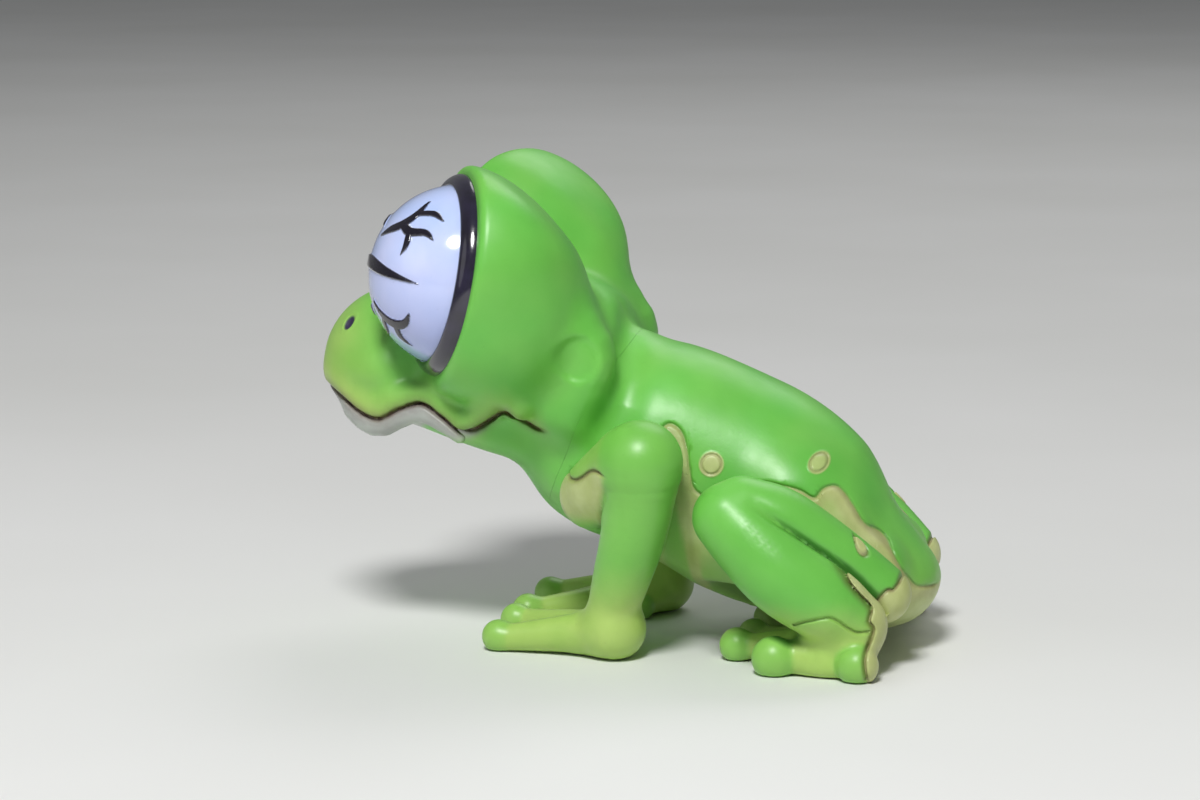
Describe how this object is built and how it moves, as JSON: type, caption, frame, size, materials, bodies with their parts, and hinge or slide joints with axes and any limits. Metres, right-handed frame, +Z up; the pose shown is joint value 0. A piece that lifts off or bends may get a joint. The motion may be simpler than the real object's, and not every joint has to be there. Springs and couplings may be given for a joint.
{
  "type": "frog figure",
  "caption": "Crouching frog figure in painted vinyl with big round eyes, a head that swivels at the neck and four limbs that swivel on pins.",
  "frame": {"origin": "on the ground, below the middle of the frog's length", "axes": "the frog faces -X, its left side is -Y, +Z is up"},
  "size_m": [0.0616, 0.0396, 0.0467],
  "materials": {
    "green_skin": "satin painted leaf green",
    "cream_skin": "satin cream yellow",
    "lime_skin": "satin lime green",
    "pale_lip": "satin pale grey green",
    "eye_white": "glossy pale blue white",
    "eye_black": "glossy black",
    "pin_plastic": "unpainted natural plastic"
  },
  "bodies": {
    "torso": {"back_shell": "green_skin", "belly_shell": "cream_skin", "neck_pin": "pin_plastic", "shoulder_pin_left": "pin_plastic", "shoulder_pin_right": "pin_plastic", "hip_pin_left": "pin_plastic", "hip_pin_right": "pin_plastic"},
    "head": {"head_shell": "green_skin", "lower_jaw": "pale_lip", "eyeball_left": "eye_white", "eyeball_right": "eye_white", "eye_rim_left": "eye_black", "eye_rim_right": "eye_black"},
    "arm_left": {"foreleg_left": "green_skin", "hand_left": "lime_skin"},
    "arm_right": {"foreleg_right": "green_skin", "hand_right": "lime_skin"},
    "leg_left": {"hind_leg_left": "green_skin", "foot_left": "lime_skin"},
    "leg_right": {"hind_leg_right": "green_skin", "foot_right": "lime_skin"}
  },
  "joints": [
    {"name": "neck_turn", "type": "hinge", "parent": "torso", "child": "head", "pos_m": [-0.00269, 0, 0.0225], "axis": [-0.8984, 0, 0.4392], "range_deg": [-25, 25]},
    {"name": "shoulder_left", "type": "hinge", "parent": "torso", "child": "arm_left", "pos_m": [-0.00209, -0.0089, 0.0154], "axis": [0, 1, 0], "range_deg": [-15, 45]},
    {"name": "shoulder_right", "type": "hinge", "parent": "torso", "child": "arm_right", "pos_m": [-0.00209, 0.0089, 0.0154], "axis": [0, 1, 0], "range_deg": [-15, 45]},
    {"name": "hip_left", "type": "hinge", "parent": "torso", "child": "leg_left", "pos_m": [0.02581, -0.0089, 0.009], "axis": [-0.2079, 0.9781, 0], "range_deg": [-20, 10]},
    {"name": "hip_right", "type": "hinge", "parent": "torso", "child": "leg_right", "pos_m": [0.02581, 0.0089, 0.009], "axis": [0.2079, 0.9781, 0], "range_deg": [-20, 10]}
  ]
}
